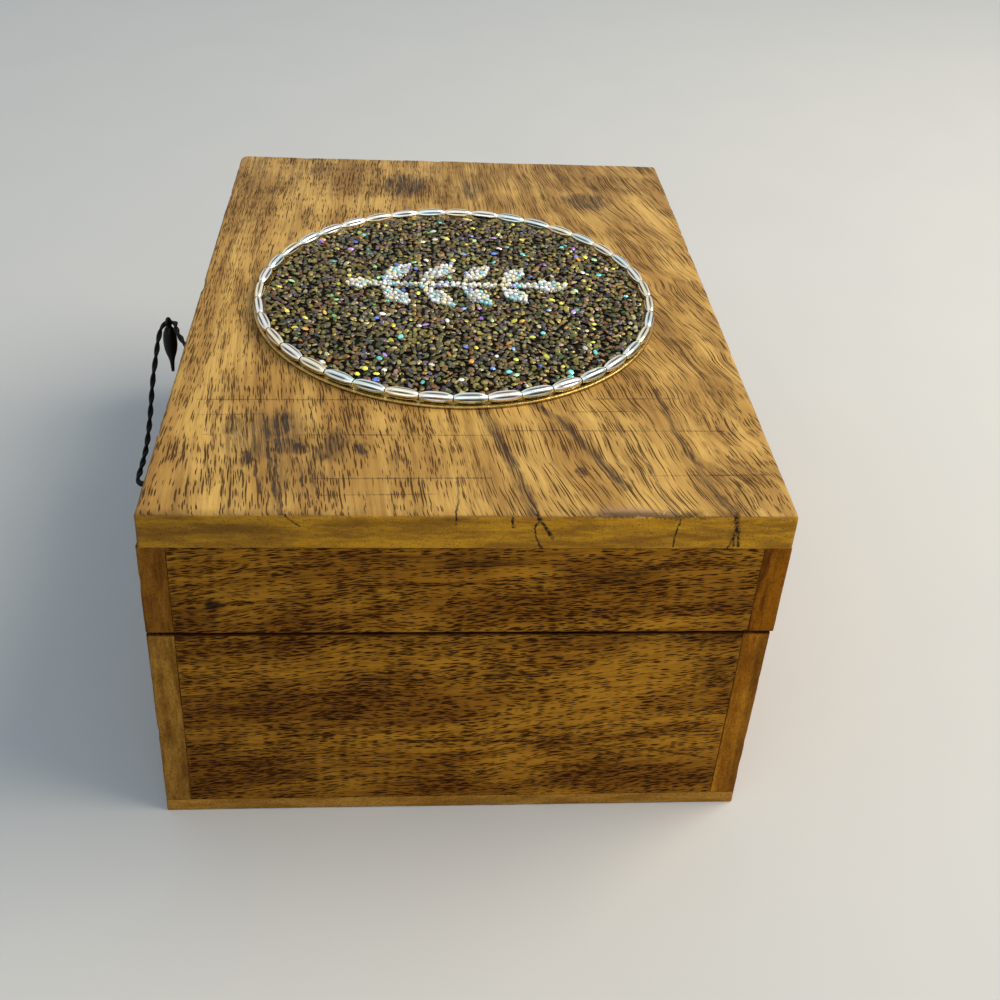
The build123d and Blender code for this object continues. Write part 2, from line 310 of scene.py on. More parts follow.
def cord_line():
    """The cord's line, read from a smooth curve through the route."""
    route = (
        [(KNOT_X, STRAND_Y, CORD_Z)]
        + [(FRONT - out, y, CORD_Z - down) for out, y, down in CORD_BENDS]
        + [(KNOT_X, -STRAND_Y, CORD_Z)]
    )
    data = bpy.data.curves.new("cord_line", "CURVE")
    data.dimensions = "3D"
    data.resolution_u = 24
    spline = data.splines.new("NURBS")
    spline.points.add(len(route) - 1)
    for point, place in zip(spline.points, route):
        point.co = (*[c * MM for c in place], 1)
    spline.order_u = 3
    spline.use_endpoint_u = True
    line = bpy.data.objects.new("cord_line", data)
    scene.collection.objects.link(line)
    mesh = bpy.data.meshes.new_from_object(line)
    points = np.array([v.co for v in mesh.vertices]) / MM
    bpy.data.objects.remove(line)
    bpy.data.meshes.remove(mesh)
    return points


def cord_material():
    s = Shader("black_cord")
    fibre = s.noise(s.place, 3.0, 3.0, 0.6)
    fine = s.stretched(s.place, (9, 9, 3), 2.0, 0.6)
    colour = s.mix(s.step(fibre, 0.3, 0.75), linear(4, 5, 8), linear(12, 14, 20))
    s.shader(Base_Color=colour, Roughness=s.step(fine, 0.2, 0.8, 0.42, 0.75))
    s.shader(Specular_IOR_Level=0.12)
    s.bump(fine, 0.08)
    return s.material


def two_ply(name, points, material):
    verts, faces = strand(points, PLY_R, PLY_SIDES, 0.0, PLY_OFFSET, PLY_PITCH)
    more, more_faces = strand(points, PLY_R, PLY_SIDES, math.pi, PLY_OFFSET, PLY_PITCH, start=len(verts))
    return mesh_piece(name, verts + more, faces + more_faces, material, sharp=60)


cord_path = cord_line()
black_cord = cord_material()
cord = settle(two_ply("cord_strand", cord_path, black_cord), "pull_cord")

KNOT_CENTRE = (KNOT_X + 2.5, 0.0, CORD_Z)
KNOT_LOBE = 0.58
KNOT_DEPTH = 1.25
KNOT_STEPS = 120


def make_knot():
    """A tight overhand knot: a three-lobed closed run of the same cord."""
    points = []
    for i in range(KNOT_STEPS + 1):
        t = 2 * math.pi * i / KNOT_STEPS
        y = KNOT_LOBE * (math.sin(t) + 2 * math.sin(2 * t))
        z = KNOT_LOBE * (math.cos(t) - 2 * math.cos(2 * t))
        x = -KNOT_DEPTH * math.sin(3 * t)
        points.append((KNOT_CENTRE[0] + x, KNOT_CENTRE[1] + y, KNOT_CENTRE[2] + z))
    return two_ply("cord_end_knot", points, black_cord)


knot = settle(make_knot(), "cord_knot")

TOGGLE_PROFILE = [
    (0.4, -0.4), (0.8, -0.9), (1.25, -1.6), (1.6, -2.6), (1.78, -3.6), (1.84, -5.0), (1.82, -6.4),
    (1.68, -7.8), (1.36, -9.2), (0.96, -10.4), (0.68, -11.6), (0.55, -12.8), (0.48, -14.2),
    (0.42, -14.9), (0.2, -15.15),
]
EYE = (-75.788, 19.429, 63.093)  # the fold of the cord, where the toggle hangs
EYE_R = 1.12
EYE_WIRE = 0.42
EYE_SINK = 0.35


def make_toggle():
    """A slim turned drop with a wire eye round the cord."""
    around, sides = 32, 10
    verts, faces = turned(TOGGLE_PROFILE, (EYE[0], EYE[1], EYE[2] - EYE_SINK), around)
    centre = Vector(EYE)
    ahead = Vector((-1.0, 0.1, -0.25)).normalized()
    side = ahead.cross(Vector((0, 0, 1))).normalized()
    up = side.cross(ahead)
    start = len(verts)
    for i in range(around):
        a = 2 * math.pi * i / around
        out = side * math.cos(a) + up * math.sin(a)
        for k in range(sides):
            b = 2 * math.pi * k / sides
            reach = EYE_R + EYE_WIRE * math.cos(b)
            verts.append(tuple(centre + out * reach + ahead * EYE_WIRE * math.sin(b)))
    for i in range(around):
        this, following = start + i * sides, start + (i + 1) % around * sides
        for k in range(sides):
            n = (k + 1) % sides
            faces.append((this + k, following + k, following + n, this + n))
    s = Shader("black_toggle")
    wear = s.noise(s.place, 0.8, 3.0, 0.6)
    s.shader(Base_Color=s.mix(wear, linear(6, 6, 9), linear(15, 15, 18)))
    s.shader(Roughness=s.step(wear, 0.3, 0.7, 0.3, 0.5), Specular_IOR_Level=0.2)
    s.bump(s.noise(s.place, 2.5, 2.0), 0.05)
    return mesh_piece("toggle", verts, faces, s.material, sharp=50)


toggle = settle(make_toggle(), "cord_toggle")

# Wood: each board has its own g along the grain, a across it and n through the board

GRAIN_ORDER = {"x": (0, 2, 1), "y": (1, 0, 2), "y_side": (1, 2, 0)}
SEED_STEP = (31.7, 17.3, 7.9)
BODY_SEED_STEP = (13.1, 5.7, 3.3)
NORMAL_LEAN = 0.8  # how far the grain leans through the board

# Noise scales along g, a and n
WAVE = (0.011, 0.02, 0.02)
RIPPLE = (0.065, 0.04, 0.04)
SHIVER = (0.25, 0.12, 0.12)
BANDS = (0.011, 0.13, 0.05)
STREAKS = (0.045, 0.95, 0.3)
FIBRES = (0.22, 3.8, 1.2)
CLOUDS = (0.045, 0.065, 0.065)
PATCHES = (0.08, 0.3, 0.1)
RINGS = (0.03, 0.07, 0.42)
SPECKS = (0.2, 1.9, 1.6)
END_LINES = (0.1, 0.9, 2.2)

# How far the waves bend the grain, in mm
WAVE_BEND = 9.0
RIPPLE_BEND = 2.0
SHIVER_BEND = 0.35

# The board's grain is nearly straight on the left, and leans and ripples on the right
LEAN_STARTS = -18.0
LEAN_FULL = 40.0
LEAN_PIVOT = 60.0
RIGHT_LEAN = 0.3
LEFT_LEAN = 0.16
LEFT_LEAN_REACH = 50.0

DASH_REACH = 0.42  # half a dash's length, as a share of its cell
# Pores: the length, width and thinness of a dash, how its share grows in dark places, and its least share
LEFT_PORES = [(3.5, 0.46, 0.3, 0.7, 0.1), (5.2, 0.62, 0.24, 0.6, 0.05), (11.0, 0.8, 0.24, 0.7, 0.0)]
RIGHT_PORES = [(16.0, 0.66, 0.25, 0.5, 0.4), (7.0, 0.52, 0.28, 0.55, 0.15)]
PANEL_PORES = [(2.3, 0.47, 0.32, 0.55, 0.45), (4.2, 0.72, 0.3, 0.75, 0.12), (3.2, 0.58, 0.3, 0.6, 0.3)]
PORE_STRENGTH = 0.93

PARTING_Z = 53.4
WORN_COLOUR = (168, 134, 102)
# The dark colour of splits, smears and knot cores, and of painted shade on the boards' faces.
DARK_MARK_AND_SHADE_COLOUR = (34, 20, 10)
EDGE_STRENGTH = 0.7


def dashes(s, g, a, length, width, thin, density):
    """Dark pores: tapered dashes along the grain, one to a cell of that length and width.

    thin is a dash's half width as a share of its cell, and density the share of cells that show one.
    """
    at = s.join(s.math("DIVIDE", g, length), s.math("DIVIDE", a, width), 0.0)
    nearest = s.cells(at, "2D")
    chance = s.split(nearest["Color"])
    away = s.vector("SUBTRACT", at, nearest["Position"])
    away = s.vector("MULTIPLY", away, (1 / DASH_REACH, 1 / thin, 0.0))
    size = s.sum(chance[1], 0.7, 0.5)
    inside = s.step(s.math("DIVIDE", s.vector("LENGTH", away), size), 0.5, 1.1, 1.0, 0.0)
    return s.times(inside, s.step(s.less(density, chance[0]), -0.05, 0.12))


def pore_field(s, g, a, where, rows):
    return s.either(
        [
            dashes(s, g, a, length, width, thin, s.sum(where, growth, least))
            for length, width, thin, growth, least in rows
        ]
    )


def board_pores(s, g, across, bent, wave, where):
    """Short pores on the board's left, and long ones on its right up to the near corner."""
    kind = s.step(s.sum(wave, 14.0, across), 2.0, 14.0)
    near_corner = s.times(s.step(across, 44.0, 54.0), s.step(g, -50.0, -30.0, 1.0, 0.0))
    kind = s.times(kind, s.rest(near_corner))
    left = s.times(pore_field(s, g, bent, where, LEFT_PORES), s.rest(kind))
    return s.sum(pore_field(s, g, bent, where, RIGHT_PORES), kind, left)


def bent_grain(s, g, a, n, across, noises, slope, board):
    """The place across the grain, bent as the grain runs."""
    wave, ripple, shiver = (s.less(value, 0.5) for value in noises)
    bent = s.sum(n, NORMAL_LEAN, across)
    bent = s.sum(wave, WAVE_BEND, bent)
    bent = s.sum(g, -slope, bent)
    bend = RIPPLE_BEND
    if board:
        right = s.step(a, LEAN_STARTS, LEAN_FULL)
        ahead = s.math("ADD", g, LEAN_PIVOT)
        bent = s.sum(s.times(ahead, right), RIGHT_LEAN, bent)
        left = s.times(s.step(a, -64.0, -48.0), s.rest(right))
        ahead = s.math("MINIMUM", ahead, LEFT_LEAN_REACH)
        bent = s.sum(s.times(ahead, left), LEFT_LEAN, bent)
        bend = s.sum(right, 4.0, 1.0)
    bent = s.math("ADD", bent, s.times(ripple, bend))
    return s.sum(shiver, SHIVER_BEND, bent)


def wood(name, grain, seed, palette, slope=0.0, knots=(), board=False):
    """Oiled hardwood with its pattern fixed in space, so that ends of boards show end grain.

    palette is light, middle, dark and pore colour. Each knot has a centre, a reach and a pull.
    """
    light, middle, dark, pore = (linear(*c) for c in palette)
    s = Shader(name)
    parts = s.split(s.place)
    g, a, n = (parts[i] for i in GRAIN_ORDER[grain])
    straight = s.join(g, a, n)
    shifted = s.vector("ADD", straight, tuple(seed * v for v in SEED_STEP))
    across = a
    for centre, reach, pull in knots:
        near = s.spot(straight, centre, reach)
        away = s.less(a, centre[1])
        across = s.less(across, s.times(away, near, pull))
    wave, ripple, shiver = (s.stretched(shifted, scales, 1.0) for scales in (WAVE, RIPPLE, SHIVER))
    bent = bent_grain(s, g, a, n, across, (wave, ripple, shiver), slope, board)
    body = s.vector("ADD", s.join(g, bent, n), tuple(seed * v for v in BODY_SEED_STEP))

    bands = s.stretched(body, BANDS, 3.0, 0.55)
    streaks = s.stretched(body, STREAKS, 4.0, 0.6)
    fibres = s.stretched(body, FIBRES, 3.0, 0.6)
    clouds = s.stretched(shifted, CLOUDS, 3.0, 0.5)
    patches = s.stretched(body, PATCHES, 3.0, 0.6)
    tone = s.math("ADD", s.times(bands, 0.6), s.times(clouds, 0.4))
    where = s.step(s.math("ADD", s.times(patches, 0.65), s.times(clouds, 0.35)), 0.4, 0.6)
    colour = s.mix(s.step(tone, 0.4, 0.6), light, middle)
    colour = s.mix(s.times(where, 0.35), colour, dark)
    colour = s.mix(s.times(s.step(streaks, 0.46, 0.7), 0.55), colour, dark)
    colour = s.mix(s.times(s.step(fibres, 0.4, 0.75), 0.35), colour, dark)
    if board:
        pores = board_pores(s, g, across, bent, wave, where)
    else:
        pores = pore_field(s, g, bent, where, PANEL_PORES)

    axis = [0.0, 0.0, 0.0]
    axis[GRAIN_ORDER[grain][0]] = 1.0
    facing = s.add("ShaderNodeTexCoord")["Normal"]
    end = s.step(s.math("ABSOLUTE", s.vector("DOT_PRODUCT", facing, tuple(axis))), 0.6, 0.85)
    square = s.either([s.math("ABSOLUTE", side) for side in s.split(facing)])
    edge = s.times(s.step(square, 0.8, 0.98, 1.0, 0.0), s.step(clouds, 0.3, 0.6))
    return s, dict(
        straight=straight, colour=colour, pores=pores, pore=pore, end=end, edge=edge,
        clouds=clouds, streaks=streaks, fibres=fibres, dark=dark,
    )


def finish_wood(
    s, p, end_light, end_dark, marks=None, dark_marks_and_shade=None, stain_and_shade=(64, 50, 40), gloss=0.1,
    worn=None, painted_parting_shade=None,
):
    """Adds end grain, marks, painted shade and pores to what wood() began, and the surface's gloss and
    relief.
    """
    rings = s.stretched(p["straight"], RINGS, 5.0, 0.65)
    nearest = s.cells(s.vector("MULTIPLY", p["straight"], SPECKS))
    chance = s.split(nearest["Color"])[0]
    specks = s.times(s.step(nearest["Distance"], 0.15, 0.34, 1.0, 0.0), s.step(chance, 0.25, 0.5))
    lines = s.stretched(p["straight"], END_LINES, 4.0, 0.7)
    end_colour = s.mix(s.step(rings, 0.35, 0.65), linear(*end_light), linear(*end_dark))
    end_colour = s.mix(s.times(s.step(lines, 0.42, 0.68), 0.4), end_colour, p["dark"])
    end_colour = s.mix(s.times(specks, 0.6), end_colour, p["pore"])
    pores = s.times(p["pores"], s.rest(p["end"]))
    colour = p["colour"]
    if marks is not None:
        texture = s.sum(p["fibres"], 0.5, s.times(p["streaks"], 0.5))
        broken = s.step(texture, 0.38, 0.6, 0.4, 1.3)
        colour = s.mix(s.math("MULTIPLY", marks, broken, clamp=True), colour, linear(*stain_and_shade))
    colour = s.mix(s.times(pores, PORE_STRENGTH), colour, p["pore"])
    if worn is not None:
        colour = s.mix(worn, colour, linear(*WORN_COLOUR))
    colour = s.mix(p["end"], colour, end_colour)
    colour = s.mix(s.times(p["edge"], EDGE_STRENGTH), colour, p["dark"])
    # Dark marks: splits, smears and knot cores, and painted shade where a caller gives it.
    if dark_marks_and_shade is not None:
        colour = s.mix(dark_marks_and_shade, colour, linear(*DARK_MARK_AND_SHADE_COLOUR))
    # Painted shade along the parting line.
    if painted_parting_shade is not None:
        colour = s.mix(painted_parting_shade, colour, p["pore"])
    s.shader(Base_Color=colour)
    s.shader(Roughness=s.sum(pores, 0.25, s.step(p["clouds"], 0.3, 0.7, 0.42, 0.55)))
    s.shader(Specular_IOR_Level=gloss)
    height = s.less(s.times(p["fibres"], 0.25), pores)
    if dark_marks_and_shade is not None:
        height = s.less(height, s.times(dark_marks_and_shade, 1.5))
    s.bump(height, 0.09)
    return s.material


TOP_PALETTE = ((220, 176, 96), (184, 140, 72), (132, 94, 48), (70, 45, 24))
PANEL_PALETTE = ((188, 128, 32), (148, 94, 20), (92, 48, 8), (38, 10, 1))
SIDE_PALETTE = ((176, 120, 34), (142, 92, 22), (92, 52, 12), (44, 18, 3))
BLOTCHES = [  # x, y, half width, half length and strength of the dark patches on the board
    (-39.4, -54.2, 5.2, 8.5, 1.0), (-41.0, -57.5, 12.0, 12.0, 0.6), (-37.6, -61.2, 4.4, 5.0, 0.95),
    (-34.2, -62.2, 2.6, 3.4, 1.0), (-45.5, -57.0, 5.0, 9.0, 0.6), (-29.5, -62.8, 3.0, 3.8, 0.7),
    (-44.7, -64.7, 2.5, 3.4, 1.0), (-27.0, -60.5, 4.0, 7.0, 0.65), (-34.0, -70.0, 8.0, 9.0, 0.3),
    (-21.5, -62.2, 1.8, 3.0, 0.9), (-48.4, -54.2, 3.2, 5.4, 0.6), (-14.3, -63.7, 2.0, 2.2, 0.4),
    (22.7, -69.1, 1.4, 1.9, 0.95), (30.2, -72.0, 1.4, 2.6, 0.95), (45.4, -60.8, 1.2, 2.6, 0.7),
    (36.5, -69.0, 1.0, 1.6, 0.6), (39.1, -54.2, 1.0, 1.8, 0.5), (38.5, 56.0, 11.0, 8.0, 0.8),
    (46.0, 47.0, 6.0, 8.0, 0.25), (5.5, 63.0, 6.5, 10.0, 0.65), (33.0, 76.0, 8.0, 5.0, 0.4),
    (-14.0, 64.0, 10.0, 12.0, 0.85), (-6.0, 76.0, 5.0, 6.0, 0.4), (-39.0, 73.0, 6.0, 8.0, 0.6),
    (-57.0, 76.0, 4.0, 7.0, 0.5), (49.5, -14.0, 3.0, 14.0, 0.3), (-57.0, 42.0, 4.0, 16.0, 0.25),
    (-56.8, -62.0, 0.7, 3.4, 0.5),
]
VEINS = [  # the corners of long dark strokes on the board, with their half width and strength
    (((2.0, -40.0), (4.9, -53.4), (8.5, -66.2), (11.1, -77.9), (12.2, -84.0)), 1.8, 0.8),
    (((10.6, -75.0), (11.1, -77.9), (12.2, -84.0)), 0.6, 0.95),
    (((15.0, -46.0), (19.6, -51.1), (25.1, -61.7), (30.9, -73.9)), 1.6, 0.72),
    (((42.4, -39.7), (44.1, -56.0), (46.6, -67.7), (51.2, -84.0)), 1.1, 0.75),
    (((44.6, -57.0), (45.8, -63.0), (46.2, -66.0)), 0.8, 0.9),
    (((49.4, -79.0), (51.2, -84.0)), 0.7, 0.8),
    (((-41.0, -60.0), (-39.5, -68.0), (-37.5, -76.7), (-35.3, -84.0)), 0.8, 0.85),
    (((-38.8, -64.0), (-37.2, -75.0), (-35.4, -84.0)), 0.6, 1.0),
    (((-34.5, -65.0), (-33.0, -71.0), (-30.5, -80.0)), 0.4, 0.8),
    (((-32.0, -67.0), (-29.5, -77.0)), 0.35, 0.7),
    (((-36.2, -79.5), (-35.3, -84.0)), 0.6, 0.9),
    (((-2.5, -71.0), (-3.0, -84.0)), 0.35, 0.8),
    (((-52.6, -62.5), (-51.0, -71.0)), 0.5, 0.6),
    (((-42.5, -66.0), (-40.5, -76.0)), 0.5, 0.7),
    (((30.0, -50.0), (36.0, -66.0), (39.5, -84.0)), 0.4, 0.45),
    (((50.0, -18.0), (54.0, -34.0), (58.0, -50.0)), 0.6, 0.5),
]
SAW_LINES = [  # where each starts and ends in x, and its y, on the board's top
    (-54.0, 6.0, -57.5), (-57.0, -21.0, -45.2), (28.0, 47.0, -43.5), (9.0, 55.0, -55.3),
    (36.0, 60.0, -70.0), (23.0, 38.0, -48.4), (-31.0, 4.0, -71.5), (-29.0, -7.0, -76.5),
    (-56.0, -42.0, -50.7),
]
SPLITS = [  # strokes on the board's near edge: two x and z pairs, then the half width
    ((12.6, 84.0), (14.0, 81.3), 0.5), ((14.0, 81.3), (15.5, 78.6), 0.62),
    ((12.9, 83.2), (12.1, 81.0), 0.26), ((12.1, 81.0), (12.4, 78.4), 0.26),
    ((12.4, 78.4), (13.8, 76.3), 0.3), ((51.2, 84.0), (51.6, 80.8), 0.85),
    ((51.6, 80.8), (50.4, 76.0), 0.4), ((52.0, 80.4), (52.4, 76.6), 0.35),
    ((51.2, 79.6), (51.4, 77.0), 0.4), ((39.8, 84.0), (39.6, 76.5), 0.24),
    ((7.4, 83.6), (7.8, 81.4), 0.5), ((-35.2, 84.0), (-32.5, 81.4), 0.3),
    ((-3.0, 84.0), (-3.1, 82.0), 0.25),
]
SMEARS = [  # x, z, half width, half height and strength of the dark places on the board's near edge: dirty smears, and last a thin dark line along its top
    (-46.0, 81.6, 15.0, 2.8, 0.42), (-24.0, 82.4, 9.0, 1.8, 0.4), (-6.0, 82.6, 8.0, 1.5, 0.3),
    (-50.0, 79.0, 18.0, 5.0, 0.2), (-58.0, 77.4, 6.0, 1.6, 0.2), (51.4, 79.0, 2.2, 3.2, 0.35),
    (58.5, 78.0, 3.0, 1.4, 0.25), (34.5, 83.9, 18.0, 0.55, 0.7),
]
SAW_WIDTH = 0.3  # half of it
SAW_SLANT = 0.5
BOARD_ENDS = ((208, 148, 22), (146, 96, 10))
PANEL_ENDS = ((120, 84, 34), (98, 66, 22))
# The panels' stain colour, which also paints their shade.
PANEL_STAIN_AND_SHADE = (40, 18, 4)
BOTTOM_ENDS = ((188, 134, 54), (150, 102, 36))
PANEL_KNOT = (-49.8, 61.3)


def shaken(s, flat, shake, reach):
    """Places in a flat drawing, moved a little, so that what is drawn there gets uneven edges."""
    moved = s.vector("ADD", flat, s.scaled(shake, reach))
    return s.vector("MULTIPLY", moved, (1.0, 1.0, 0.0))


def spots(s, at, rows, upright=False):
    """The strengths of oval spots. A row is a centre's two places, the two half widths and a strength."""
    found = []
    for u, v, half_u, half_v, strength in rows:
        centre, reach = (u, v, 0.0), (half_u, half_v, 1.0)
        if upright:
            centre, reach = (u, 0.0, v), (half_u, 1.0, half_v)
        found.append(s.times(s.spot(at, centre, reach), strength))
    return found


def strokes(s, at, rows):
    """The strengths of bent strokes. A row is a stroke's corners, its half width and a strength."""
    found = []
    for corners, width, strength in rows:
        lines = [s.line(at, (*a, 0.0), (*b, 0.0), width) for a, b in zip(corners, corners[1:])]
        found.append(s.times(s.either(lines), strength))
    return found


def board_wood():
    s, p = wood("wood_board", "y", 1.0, TOP_PALETTE, board=True)
    x, y, z = s.split(s.place)
    tremble = s.shake(s.place, 0.25)
    flat = s.join(x, y, 0.0)
    drawn = shaken(s, flat, tremble, 2.2)
    marks = spots(s, shaken(s, flat, tremble, 5.0), BLOTCHES) + strokes(s, drawn, VEINS)
    cuts = [s.line(flat, (x0, at, 0.0), (x1, at + SAW_SLANT, 0.0), SAW_WIDTH) for x0, x1, at in SAW_LINES]
    marks.append(s.times(s.either(cuts), s.step(p["clouds"], 0.4, 0.6, 0.3, 0.65)))
    marks.append(s.times(s.step(y, 20.0, 80.0), s.step(p["clouds"], 0.3, 0.65, 0.1, 0.42)))
    worn = s.times(s.spot(drawn, (31.0, -82.0, 0.0), (11.0, 3.2, 1.0)), 0.7)

    front = s.vector("ADD", s.join(x, 0.0, z), s.vector("MULTIPLY", tremble, (1.6, 0.0, 1.6)))
    rough = s.shake(s.place, 1.7)
    front = s.vector("ADD", front, s.vector("MULTIPLY", rough, (1.0, 0.0, 1.0)))
    splits = s.either([s.line(front, (a[0], 0.0, a[1]), (b[0], 0.0, b[1]), w) for a, b, w in SPLITS])
    splits = s.times(splits, s.step(s.split(rough)[1], -0.12, 0.06, 0.45, 1.0))
    # Painted shade: the board's near edge darker towards the left, away from the light. With the splits and
    # smears it makes that edge's dark marks.
    shade = s.step(x, -64.0, 8.0, 0.36, 0.0)
    darkening = s.either([splits, *spots(s, front, SMEARS, upright=True), shade])
    darkening = s.times(darkening, s.step(y, -82.0, -80.0, 1.0, 0.0))
    return finish_wood(s, p, *BOARD_ENDS, s.either(marks), darkening, gloss=0.12, worn=worn)


PANEL_SPOTS = [  # x, z, half width, half height and strength of the dark places on the end panels
    (2.0, 72.6, 17.0, 2.4, 0.55), (-18.0, 73.6, 12.0, 1.8, 0.45), (30.0, 68.2, 12.0, 3.0, 0.4),
    (-50.0, 70.0, 9.0, 5.0, 0.3), (-36.6, 50.9, 8.0, 2.4, 0.6), (-10.0, 51.6, 14.0, 1.4, 0.45),
    (7.5, 42.0, 5.5, 3.0, 0.5), (52.0, 43.5, 5.0, 6.5, 0.4), (-26.0, 30.0, 10.0, 3.5, 0.35),
]
PANEL_LINES = [  # the corners of dark strokes on the end panels, with their half width and strength
    (((-54.3, 62.3), (-42.3, 61.7)), 0.8, 0.75),
    (((35.0, 71.0), (41.5, 71.6)), 0.6, 0.95),
    (((-42.0, 38.2), (-22.0, 41.0), (-10.0, 39.8)), 1.0, 0.5),
    (((-46.0, 18.8), (-22.0, 21.9), (4.7, 21.5), (22.5, 20.4), (42.3, 18.0), (54.0, 15.4)), 0.4, 0.65),
    (((25.5, 7.2), (31.0, 6.6)), 0.5, 0.6),
]


def parting_shade_band(s):
    """Painted shade: a dark band along the line where the lid meets the base."""
    z = s.split(s.place)[2]
    return s.step(s.math("ABSOLUTE", s.less(z, PARTING_Z)), 0.2, 0.75, 0.85, 0.0)


def panel_wood():
    knots = [((*PANEL_KNOT, -82.5), (10.0, 6.0, 9.0), 0.45)]
    s, p = wood("wood_end_panels", "x", 2.0, PANEL_PALETTE, slope=0.1, knots=knots)
    x, y, z = s.split(s.place)
    drawn = shaken(s, s.join(x, z, 0.0), s.shake(s.place, 0.8), 1.2)
    core = s.times(s.spot(drawn, (*PANEL_KNOT, 0.0), (2.6, 1.7, 1.0)), 0.9)
    base = s.step(z, PARTING_Z - 0.1, PARTING_Z + 0.1, 1.0, 0.0)
    # Painted shade: the base's panels darken upwards towards the parting line, below the lid.
    below = s.times(s.step(z, 47.5, PARTING_Z, 0.0, 0.5), base)
    # Painted shade: the end panels darker towards the left, away from the light.
    painted_left_shade = s.step(x, -60.0, 20.0, 0.36, 0.0)
    marks = s.either([*spots(s, drawn, PANEL_SPOTS), *strokes(s, drawn, PANEL_LINES), below, painted_left_shade])
    painted_parting_shade = parting_shade_band(s)
    return finish_wood(s, p, *PANEL_ENDS, marks, core, stain_and_shade=PANEL_STAIN_AND_SHADE, gloss=0.04, painted_parting_shade=painted_parting_shade)


def side_wood(name, seed, end_light, end_dark, dark_outside=False):
    s, p = wood(name, "y_side", seed, SIDE_PALETTE, slope=0.02)
    outer = None
    # Painted shade: a darker band on the end grain at the outer corner, which is rounded away from the
    # light.
    if dark_outside:
        x = s.split(s.place)[0]
        outer = s.times(s.step(x, 60.4, 61.4, 0.0, 0.36), p["end"])
    return finish_wood(s, p, end_light, end_dark, dark_marks_and_shade=outer, gloss=0.03, painted_parting_shade=parting_shade_band(s))


def bottom_wood():
    s, p = wood("wood_bottom", "y", 6.0, SIDE_PALETTE)
    return finish_wood(s, p, *BOTTOM_ENDS, gloss=0.03)


EDGE_LINES = [0.0, 0.07, 0.16, 0.3, 0.5, 0.8, 1.25, 2.0]  # grid lines near an edge, as distances from it
THIN = 12.0  # a board thinner than this has fewer of them

# Rounding of the edges
GLUED = 0.06
INNER = 0.2
PARTING = 0.28
OUTER = 0.5
TOP = 0.8


def lattice(low, high, step):
    """Grid lines from low to high, close together near both ends."""
    length = high - low
    near = EDGE_LINES[:6] if length < THIN else EDGE_LINES
    inner = length - 2 * near[-1]
    count = max(2, round(inner / step))
    middle = [near[-1] + inner * k / count for k in range(1, count)]
    ends = [length - v for v in reversed(near)]
    return low + np.array(near + middle + ends)


def wear_factors(points, seed, wear):
    """How much more or less than its plain rounding each point's edge is worn."""
    factors = []
    for p in points:
        slow = noise.noise(Vector(p) * 0.09 + Vector((seed, 0, 0)))
        quick = noise.noise(Vector(p) * 0.55 + Vector((0, seed, 0)))
        chip = max(0.0, noise.noise(Vector(p) * 0.21 + Vector((seed, seed, 0))) - 0.33)
        factors.append(1.0 + wear * (0.45 * slow + 0.3 * quick + 3.5 * chip))
    return np.clip(np.array(factors), 0.4, 2.4)[:, None]


def worn_board(name, node, material, ease_low, ease_high, seed, step=2.4, wear=1.0):
    """A board in a CAD board's place, with its outer edges eased and worn unevenly.

    ease_low and ease_high give the rounding at each side, and joints get almost none.
    """
    low, high = (np.array(corner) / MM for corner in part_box(node))
    lines = [lattice(low[i], high[i], step) for i in range(3)]
    counts = [len(v) for v in lines]
    index = np.full(counts, -1)
    outside = np.zeros(counts, bool)
    for axis in range(3):
        side = [slice(None)] * 3
        for at in (0, -1):
            side[axis] = at
            outside[tuple(side)] = True
    places = np.argwhere(outside)
    index[outside] = np.arange(len(places))
    points = np.stack([lines[i][places[:, i]] for i in range(3)], axis=1)
    faces = []
    for axis in range(3):
        for at in (0, counts[axis] - 1):
            grid = np.take(index, at, axis=axis)
            corners = [grid[:-1, :-1], grid[1:, :-1], grid[1:, 1:], grid[:-1, 1:]]
            quads = np.stack(corners, axis=-1).reshape(-1, 4)
            if (at == 0) != (axis == 1):
                quads = quads[:, ::-1]
            faces += quads.tolist()
    factors = wear_factors(points, seed, wear)
    round_low = np.array(ease_low) * factors
    round_high = np.array(ease_high) * factors
    core = np.clip(points, low + round_low, high - round_high)
    away = points - core
    reach = np.where(away < 0, round_low, round_high)
    length = np.linalg.norm(away / reach, axis=1)
    points = core + away / np.maximum(length, 1.0)[:, None]
    piece = mesh_piece(name, points, faces, material, sharp=50)
    return settle(piece, node, node.split("_")[0])  # a board's name starts with its body's


board_material = board_wood()
panel_material = panel_wood()
base_clasp_material = side_wood("wood_base_clasp_side", 3.0, (166, 118, 46), (112, 72, 22))
base_hinge_material = side_wood("wood_base_hinge_side", 4.0, (190, 124, 28), (140, 82, 12), True)
lid_clasp_material = side_wood("wood_lid_clasp_side", 5.0, (140, 90, 26), (92, 52, 12))
lid_hinge_material = side_wood("wood_lid_hinge_side", 7.0, (158, 94, 10), (94, 46, 3))
bottom_material = bottom_wood()

